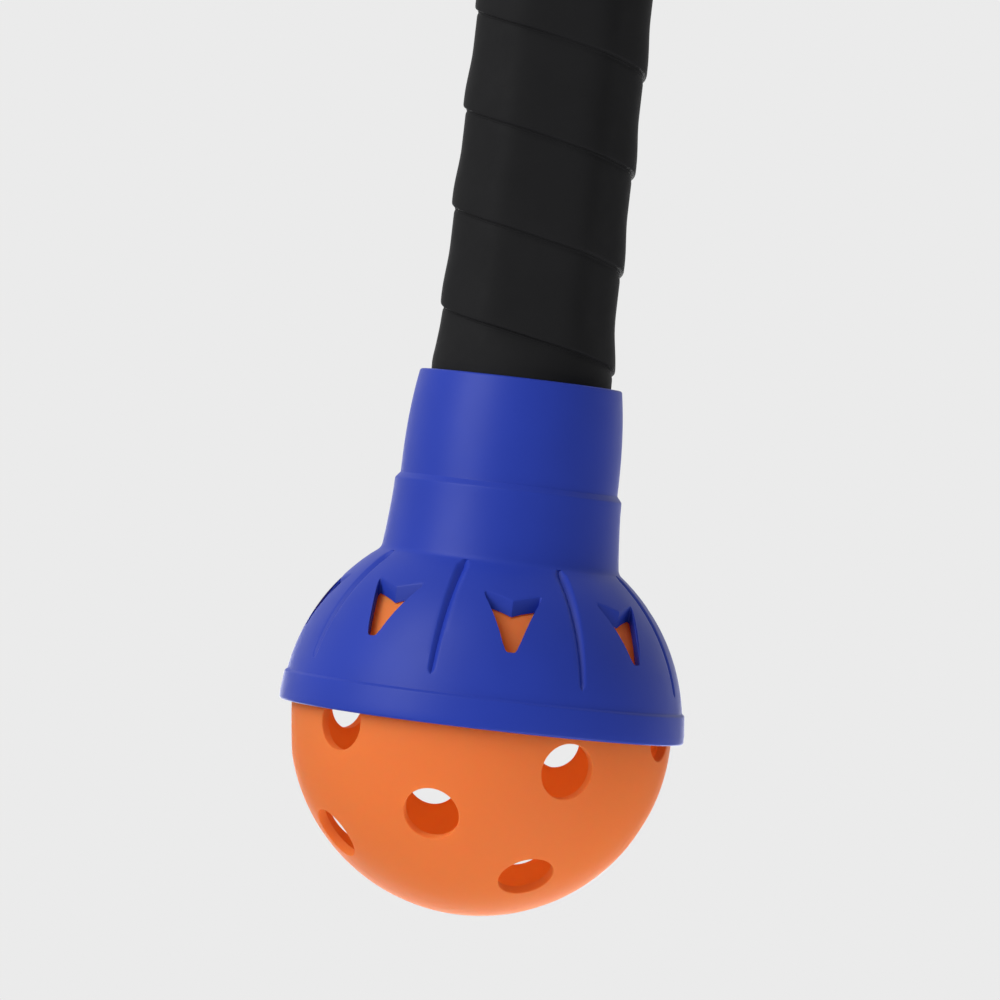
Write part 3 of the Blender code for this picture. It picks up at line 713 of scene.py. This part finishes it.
def window_cutter(settings):
    """A plug with a window's outline on the +X side, a triangle with a notched top.

    It flares out at the surface, so that the window's edge comes out rounded.
    """
    cut, top, foot = WINDOW_CUT_ANGLE, settings.window_top, settings.window_foot
    drill = Vector((math.cos(cut), 0, math.sin(cut)))
    rise = Vector((-math.sin(cut), 0, math.cos(cut)))
    top_rise = -BELL_RADIUS * math.sin(cut - top)
    foot_rise = -BELL_RADIUS * math.sin(cut - foot)
    start = POCKET_RADIUS * math.cos(cut - foot) - CUT_REACH
    half, tip = settings.window_width / 2, settings.window_tip / 2
    corners = (
        (-half, top_rise, WINDOW_TOP_ROUND),
        (0, top_rise - settings.window_notch, WINDOW_NOTCH_ROUND),
        (half, top_rise, WINDOW_TOP_ROUND),
        (tip, foot_rise, WINDOW_TIP_ROUND),
        (-tip, foot_rise, WINDOW_TIP_ROUND),
    )
    outline = rounded(corners)
    count = len(outline)
    outward = []
    for i in range(count):
        along = outline[(i + 1) % count] - outline[i - 1]
        outward.append(Vector((-along.y, along.x)).normalized())
    rings = [[drill * start + Vector((0, s, 0)) + rise * h for s, h in outline]]
    for offset, height in WINDOW_FLARE:
        ring = []
        for point, normal in zip(outline, outward):
            side, up = point + normal * offset * settings.cut_round
            radius = BELL_RADIUS + height * settings.cut_round
            reach = math.sqrt(radius ** 2 - side ** 2 - up ** 2)
            ring.append(drill * reach + Vector((0, side, 0)) + rise * up)
        rings.append(ring)
    lift = Vector((0, 0, RIM_Z))
    return stacked_cutter("window", [[point + lift for point in ring] for ring in rings])


def pleat_cutter(settings):
    """A tapering keel down the +X side, which rises out of the wall at its blunt foot.

    Its sides flare out just below the surface, so that the pleat's edges come out soft.
    """
    mirrored = ((-side, height) for side, height in reversed(PLEAT_FLARE[1:]))
    section = [*PLEAT_FLARE, *mirrored]
    rings = []
    for i in range(PLEAT_STEPS + 1):
        share = i / PLEAT_STEPS
        angle = settings.pleat_top + (settings.pleat_foot - settings.pleat_top) * share
        past = max(0.0, (share - (1 - PLEAT_END_SHARE)) / PLEAT_END_SHARE)
        foot = max(math.sqrt(max(0.0, 1 - past ** 2)), PLEAT_END_SIZE)
        top = min(1.0, PLEAT_START_SIZE + share / PLEAT_GROWTH_SHARE)
        size = (1 - settings.pleat_taper * share) * foot * top
        half, depth = settings.pleat_width / 2 * size, settings.pleat_depth * size
        ring = []
        for side, height in section:
            radius = BELL_RADIUS + height * depth
            turn = side * half / (radius * math.cos(angle))
            ring.append(Vector((
                radius * math.cos(angle) * math.cos(turn),
                radius * math.cos(angle) * math.sin(turn),
                RIM_Z + radius * math.sin(angle),
            )))
        rings.append(ring)
    return stacked_cutter("pleat", rings)


class RETRIEVER_OT_cup(Operator):
    """Model the silicone cup: sleeve, neck and bell with its windows and pleats"""

    bl_idname = "retriever.cup"
    bl_label = "Cup"

    def execute(self, context):
        settings = context.scene.retriever_cup
        points = [Vector((x, 0, z)) for x, z in rounded(cup_section(settings))]
        cup = outline_ring("cup", points)
        spin_round(cup, CUP_FACETS)
        spacing = FULL_TURN / WINDOW_COUNT
        turns = [FIRST_WINDOW_TURN + spacing * i for i in range(WINDOW_COUNT)]
        windows = [Matrix.Rotation(turn, 4, "Z") for turn in turns]
        pleats = [Matrix.Rotation(turn + spacing / 2, 4, "Z") for turn in turns]
        carve(cup, joined(copies_at(window_cutter(settings), windows)))
        carve(cup, joined(copies_at(pleat_cutter(settings), pleats)))
        finish_piece(
            cup, "retriever_cup_moulding", "cup", ["retriever_cup"],
            moulded_silicone(settings.color),
        )
        return {"FINISHED"}


# The ball


def hole_plug(settings):
    """A round plug on the +Z axis that drills a hole and chamfers its outer edge."""
    radius, edge = settings.hole_diameter / 2, settings.hole_edge
    inner = BALL_RADIUS - settings.wall - CUT_REACH
    # The ball's surface at the hole's edge lies a little lower than at its middle
    surface = math.sqrt(BALL_RADIUS ** 2 - radius ** 2)
    flare = CUT_REACH
    section = (
        (0, inner), (radius, inner), (radius, surface - edge),
        (radius + edge + flare, surface + flare), (0, surface + flare),
    )
    plug = outline_ring("hole", [Vector((x, 0, z)) for x, z in section])
    spin_round(plug, HOLE_FACETS)
    return plug


class RETRIEVER_OT_ball(Operator):
    """Model the perforated ball as one welded shell"""

    bl_idname = "retriever.ball"
    bl_label = "Ball"

    def execute(self, context):
        settings = context.scene.retriever_ball
        bpy.ops.object.select_all(action="DESELECT")
        bpy.ops.mesh.primitive_uv_sphere_add(
            segments=BALL_SEGMENTS, ring_count=BALL_RINGS, radius=BALL_RADIUS,
        )
        ball = bpy.context.object
        apply_modifier(
            ball, "SOLIDIFY", thickness=settings.wall, offset=-1.0, use_even_offset=True,
        )

        places = [Matrix.Identity(4)]
        rings = (
            (NEAR_RING_LATITUDE, NEAR_RING_COUNT, 0.0),
            (FAR_RING_LATITUDE, FAR_RING_COUNT, math.pi / NEAR_RING_COUNT),
        )
        for latitude, count, first in rings:
            tilt = Matrix.Rotation(math.pi / 2 - latitude, 4, "Y")
            for i in range(count):
                places.append(Matrix.Rotation(first + FULL_TURN * i / count, 4, "Z") @ tilt)
        # The lower half is the upper one turned over and staggered by half a hole spacing
        over = Matrix.Rotation(math.pi, 4, "X")
        over @= Matrix.Rotation(-math.pi / NEAR_RING_COUNT, 4, "Z")
        places += [over @ place for place in places]
        carve(ball, joined(copies_at(hole_plug(settings), places)))

        ball.data.transform(Matrix.Translation((0, 0, BALL_Z)) @ BALL_TURN.to_matrix().to_4x4())
        finish_piece(
            ball, "ball_shell", "ball", ["ball_upper_half", "ball_lower_half"],
            ball_plastic(settings.color),
        )
        return {"FINISHED"}


# The handle


def octagon_radius(turn, offset):
    """Radius of the handle's soft octagon, pushed out by an offset."""
    across, along = abs(math.cos(turn)), abs(math.sin(turn))
    lean_x, lean_y = math.cos(OCTAGON_CORNER_ANGLE), math.sin(OCTAGON_CORNER_ANGLE)
    corner = OCTAGON_FRONT_HALF * lean_x + OCTAGON_HALF_DEPTH * lean_y
    facets = (
        across / (OCTAGON_HALF_WIDTH + offset),
        (across * lean_x + along * lean_y) / (corner + offset),
        along / (OCTAGON_HALF_DEPTH + offset),
    )
    return sum(facet ** OCTAGON_SHARPNESS for facet in facets) ** (-1 / OCTAGON_SHARPNESS)


def wrap_radius(turn, z):
    """Radius of the overgrip, which flares from the octagon to the round butt at the lip."""
    share = ease((LIP_Z + FLARE_LENGTH - z) / FLARE_LENGTH)
    return (1 - share) * octagon_radius(turn, OVERGRIP_OFFSET) + share * BUTT_RADIUS


def wrap_profile():
    """The points across the overgrip's tape, from its crease to its lapped edge."""
    ramp_start = WRAP_FLAT[-1][0]
    shares = [i / WRAP_RAMP_STEPS for i in range(1, WRAP_RAMP_STEPS + 1)]
    ramp = [(ramp_start + WRAP_RAMP_LENGTH * share, ease(share)) for share in shares]
    return [*WRAP_CREASE, *WRAP_FLAT, *ramp, *WRAP_EDGE]


def waves(turn, parts):
    """A sum of slow waves at a turn of the winding."""
    return sum(height * math.sin(rate * turn + start) for height, rate, start in parts)


def wind_overgrip(settings):
    """A flat grid wound down the handle so that each turn's edge laps the next turn."""
    profile = wrap_profile()
    turns_above = math.ceil((WRAP_TOP_Z - LIP_Z - SEAM_HEIGHT) / settings.pitch) + 1
    turns_below = math.ceil((LIP_Z + SEAM_HEIGHT - WRAP_FOOT_Z) / settings.pitch) + 1
    start_z = LIP_Z + SEAM_HEIGHT + turns_above * settings.pitch
    stations = (turns_above + turns_below) * settings.facets
    bpy.ops.object.select_all(action="DESELECT")
    bpy.ops.mesh.primitive_grid_add(
        x_subdivisions=stations, y_subdivisions=len(profile) - 1, size=2.0,
    )
    tape = bpy.context.object
    for vertex in tape.data.vertices:
        i = round((vertex.co.x + 1) / 2 * stations)
        fall, rise = profile[round((vertex.co.y + 1) / 2 * (len(profile) - 1))]
        turn = FULL_TURN * i / settings.facets
        z = start_z - settings.pitch * (i / settings.facets + fall)
        above_lip = ease((z - LIP_Z) / LAP_FADE)
        below_tape = ease((TAPE_FOOT_Z - z) / LAP_FADE)
        lap = settings.lap * above_lip * below_tape
        # Hand-wound tape: the raised edge wanders a little, and stands out unevenly.
        # The sunk edges don't, so that each turn meets the next one exactly.
        raised = max(rise, 0.0)
        height = rise + raised * waves(turn, EDGE_UNEVENNESS)
        radius = wrap_radius(turn, z) + height * lap
        wander = raised * waves(turn, EDGE_WANDER)
        vertex.co = (radius * math.cos(turn), radius * math.sin(turn), z + wander)
    select_only(tape)
    bpy.ops.object.mode_set(mode="EDIT")
    bpy.ops.mesh.select_all(action="SELECT")
    bpy.ops.mesh.remove_doubles(threshold=MERGE_DISTANCE)
    for end_z, side in ((WRAP_TOP_Z, 1), (WRAP_FOOT_Z, -1)):
        bpy.ops.mesh.select_all(action="SELECT")
        bpy.ops.mesh.bisect(
            plane_co=(0, 0, end_z), plane_no=(0, 0, side), clear_outer=True,
            threshold=MERGE_DISTANCE,
        )
    bpy.ops.mesh.select_all(action="SELECT")
    bpy.ops.mesh.normals_make_consistent(inside=False)
    bpy.ops.object.mode_set(mode="OBJECT")
    apply_modifier(tape, "SOLIDIFY", thickness=settings.wall, offset=-1.0)
    return tape


class RETRIEVER_OT_overgrip(Operator):
    """Wind the overgrip down the handle with lapped edges"""

    bl_idname = "retriever.overgrip"
    bl_label = "Overgrip"

    def execute(self, context):
        settings = context.scene.retriever_handle
        tape = wind_overgrip(settings)
        finish_piece(
            tape, "overgrip_winding", "handle", ["overgrip"],
            overgrip_tape(settings.color),
        )
        return {"FINISHED"}


def grip_rings():
    """Rings of the base grip's section, down its outside and up inside it."""
    edge = BASE_GRIP_EDGE
    inner, outer = BASE_GRIP_OFFSETS
    inner_butt, outer_butt = BASE_GRIP_BUTT_RADII

    def flared(z, offset, butt_radius):
        share = ease((LIP_Z + FLARE_LENGTH - z) / FLARE_LENGTH)
        return lambda turn: (
            (1 - share) * octagon_radius(turn, offset) + share * butt_radius, z,
        )

    rings = [flared(WRAP_TOP_Z, outer - edge, outer_butt)]
    rings.append(flared(WRAP_TOP_Z - edge, outer, outer_butt))
    for i in range(BASE_GRIP_FLARE_STEPS + 1):
        z = LIP_Z + FLARE_LENGTH * (1 - i / BASE_GRIP_FLARE_STEPS)
        rings.append(flared(z, outer, outer_butt))
    rings.append(flared(WRAP_FOOT_Z + edge, outer, outer_butt))
    rings.append(flared(WRAP_FOOT_Z, outer, outer_butt - edge))
    rings.append(flared(WRAP_FOOT_Z, BASE_GRIP_OVER_SKIRT, inner_butt))
    for i in range(SKIRT_STEPS + 1):
        z = LIP_Z + (SKIRT_TOP_Z - LIP_Z) * i / SKIRT_STEPS
        rings.append(flared(z, BASE_GRIP_OVER_SKIRT, inner_butt))
    rings.append(lambda turn: (octagon_radius(turn, inner), SKIRT_TOP_Z))
    rings.append(lambda turn: (octagon_radius(turn, inner), WRAP_TOP_Z))
    return rings


class RETRIEVER_OT_base_grip(Operator):
    """Model the cushioned grip under the overgrip"""

    bl_idname = "retriever.base_grip"
    bl_label = "Base grip"

    def execute(self, context):
        grip = closed_wrap("base_grip", grip_rings(), BASE_GRIP_FACETS)
        finish_piece(
            grip, "base_grip_sleeve", "handle", ["base_grip"],
            cushioned_grip("#2B2B2B"),
        )
        return {"FINISHED"}


class RETRIEVER_OT_finishing_tape(Operator):
    """Model the tape that holds the overgrip's upper end, with the step of its own end"""

    bl_idname = "retriever.finishing_tape"
    bl_label = "Finishing tape"

    def execute(self, context):
        inner, outer = TAPE_OFFSETS
        edge = TAPE_EDGE

        def ring(z, offset, outside):
            def place(turn):
                # The last turn of tape rises slowly onto itself and ends in a small step
                wound = 1 - (turn - TAPE_END_TURN) % FULL_TURN / FULL_TURN
                return octagon_radius(turn, offset + outside * TAPE_END_STEP * wound), z
            return place

        rings = [
            ring(WRAP_TOP_Z, inner, 0), ring(WRAP_TOP_Z, outer - edge, 1),
            ring(WRAP_TOP_Z - edge, outer, 1), ring(TAPE_FOOT_Z + edge, outer, 1),
            ring(TAPE_FOOT_Z, outer - edge, 1), ring(TAPE_FOOT_Z, inner, 0),
        ]
        tape = closed_wrap("finishing_tape", rings, TAPE_FACETS)
        finish_piece(
            tape, "finishing_tape_band", "handle", ["finishing_tape"],
            stretched_vinyl("#121213"), angle=TAPE_SHARP_ANGLE,
        )
        return {"FINISHED"}


class RETRIEVER_OT_handle_finishes(Operator):
    """Dress the handle's inner pieces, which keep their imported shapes"""

    bl_idname = "retriever.handle_finishes"
    bl_label = "Handle finishes"

    def execute(self, context):
        finishes = (
            (("stem_core",), cut_honeycomb("#C9C9C2")),
            (("front_face_sheet", "back_face_sheet"), laminated_sheet("#1D1D1F")),
            (("front_pallet", "back_pallet"), moulded_foam("#6C6C6A")),
            (("butt_cap",), spark_eroded_plastic("#1C1C1C")),
            (("front_staple", "back_staple"), drawn_wire("#C4C4C4")),
        )
        for names, material in finishes:
            for name in names:
                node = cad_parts[name]
                node.data.materials.clear()
                node.data.materials.append(material)
        return {"FINISHED"}


# Stage, camera and light


class RETRIEVER_OT_stage(Operator):
    """Set the floor, the backdrop, the camera and the soft light"""

    bl_idname = "retriever.stage"
    bl_label = "Stage"

    def execute(self, context):
        settings = context.scene.retriever_stage
        self.add_floor(settings)
        self.set_world(context, settings)
        self.add_lamps(settings)
        self.add_camera(context, settings)
        context.scene.view_settings.view_transform = "Standard"
        return {"FINISHED"}

    def add_floor(self, settings):
        """A wide pale disc below the object, shown in the backdrop's colour with its shadow."""
        low = PACKED_BOUNDS[0][2] - settings.floor_drop
        bpy.ops.object.select_all(action="DESELECT")
        bpy.ops.mesh.primitive_circle_add(
            vertices=FLOOR_FACETS, radius=FLOOR_RADIUS, fill_type="NGON", location=(0, 0, low),
        )
        floor = bpy.context.object
        floor.name = "floor"
        material, tree, shader = new_material("pale_floor", Roughness=0.9)
        shader.inputs["Base Color"].default_value = (0.8, 0.8, 0.8, 1)
        paper = add_node(
            tree, "ShaderNodeEmission", {"Color": (*settings.backdrop, 1), "Strength": 1.0},
        )
        share = add_node(
            tree, "ShaderNodeMath", {0: self.is_seen(tree), 1: FLOOR_BACKDROP_SHARE},
            operation="MULTIPLY",
        )
        mix = add_node(tree, "ShaderNodeMixShader", {
            0: share.outputs[0], 1: shader.outputs[0], 2: paper.outputs[0],
        })
        tree.links.new(mix.outputs[0], tree.nodes["Material Output"].inputs["Surface"])
        floor.data.materials.append(material)

    def is_seen(self, tree):
        """1 where the camera sees a surface, itself or by reflection or through glass."""
        path = add_node(tree, "ShaderNodeLightPath")
        direct = add_node(
            tree, "ShaderNodeMath",
            {0: path.outputs["Is Camera Ray"], 1: path.outputs["Is Transmission Ray"]},
            operation="MAXIMUM",
        )
        seen = add_node(
            tree, "ShaderNodeMath", {0: direct.outputs[0], 1: path.outputs["Is Glossy Ray"]},
            operation="MAXIMUM",
        )
        return seen.outputs[0]

    def set_world(self, context, settings):
        """Plain soft light all round, behind which the pale backdrop is seen."""
        world = bpy.data.worlds.new("studio")
        context.scene.world = world
        world.use_nodes = True
        tree = world.node_tree
        light = tree.nodes["Background"]
        light.inputs["Color"].default_value = (1.0, 1.0, 1.0, 1)
        light.inputs["Strength"].default_value = settings.world_level
        shown = add_node(
            tree, "ShaderNodeBackground", {"Color": (*settings.backdrop, 1), "Strength": 1.0},
        )
        mix = add_node(tree, "ShaderNodeMixShader", {
            0: self.is_seen(tree), 1: light.outputs[0], 2: shown.outputs[0],
        })
        tree.links.new(mix.outputs[0], tree.nodes["World Output"].inputs["Surface"])

    def add_lamps(self, settings):
        """A tall soft key light from the left, and softer ones from below and behind."""
        lamps = (
            ("key_light", KEY_LIGHT, settings.key_level),
            ("low_light", LOW_LIGHT, settings.low_level),
            ("back_light", BACK_LIGHT, settings.back_level),
        )
        for name, (place, (width, height)), level in lamps:
            bpy.ops.object.light_add(type="AREA", location=place)
            lamp = bpy.context.object
            lamp.name = name
            aim = CAMERA_TARGET - Vector(place)
            lamp.rotation_euler = aim.to_track_quat("-Z", "Y").to_euler()
            lamp.data.shape = "RECTANGLE"
            lamp.data.size, lamp.data.size_y = width, height
            # A level of 1 shows a white surface that faces the lamp as white
            lamp.data.energy = level * math.pi ** 2 * aim.length_squared
            lamp.visible_camera = False

    def add_camera(self, context, settings):
        lean = settings.lean
        back = Vector((0, -1, 0))
        up = Vector((-math.sin(lean), 0, math.cos(lean)))
        side = up.cross(back).normalized()
        turn = Matrix((side, back.cross(side), back)).transposed().to_euler()
        place = CAMERA_TARGET + back * settings.distance
        bpy.ops.object.camera_add(location=place, rotation=turn)
        camera = bpy.context.object
        camera.name = "camera"
        camera.data.sensor_width = SENSOR_WIDTH_MM
        camera.data.lens = SENSOR_WIDTH_MM * settings.distance / PICTURE_WIDTH
        camera.data.clip_start = CAMERA_CLIP_START
        context.scene.camera = camera


STEPS = (
    RETRIEVER_OT_cup,
    RETRIEVER_OT_ball,
    RETRIEVER_OT_overgrip,
    RETRIEVER_OT_base_grip,
    RETRIEVER_OT_finishing_tape,
    RETRIEVER_OT_handle_finishes,
    RETRIEVER_OT_stage,
)
SETTINGS = {
    "retriever_cup": CupSettings,
    "retriever_ball": BallSettings,
    "retriever_handle": HandleSettings,
    "retriever_stage": StageSettings,
}


class VIEW3D_PT_retriever(Panel):
    """Lists the steps and the sizes and colours that they use"""

    bl_label = "Ball Retriever"
    bl_idname = "VIEW3D_PT_retriever"
    bl_space_type = "VIEW_3D"
    bl_region_type = "UI"
    bl_category = "Ball Retriever"

    def draw(self, context):
        for step in STEPS:
            self.layout.operator(step.bl_idname)
        for name, group in SETTINGS.items():
            box = self.layout.box()
            for label in group.__annotations__:
                box.prop(getattr(context.scene, name), label)


def register():
    for group in SETTINGS.values():
        bpy.utils.register_class(group)
    for name, group in SETTINGS.items():
        setattr(bpy.types.Scene, name, PointerProperty(type=group))
    for step in STEPS:
        bpy.utils.register_class(step)
    bpy.utils.register_class(VIEW3D_PT_retriever)


def unregister():
    bpy.utils.unregister_class(VIEW3D_PT_retriever)
    for step in reversed(STEPS):
        bpy.utils.unregister_class(step)
    for name, group in SETTINGS.items():
        delattr(bpy.types.Scene, name)
        bpy.utils.unregister_class(group)


def main():
    register()
    bpy.ops.retriever.cup()
    bpy.ops.retriever.ball()
    bpy.ops.retriever.overgrip()
    bpy.ops.retriever.base_grip()
    bpy.ops.retriever.finishing_tape()
    bpy.ops.retriever.handle_finishes()
    bpy.ops.retriever.stage()


if __name__ == "__main__":
    main()
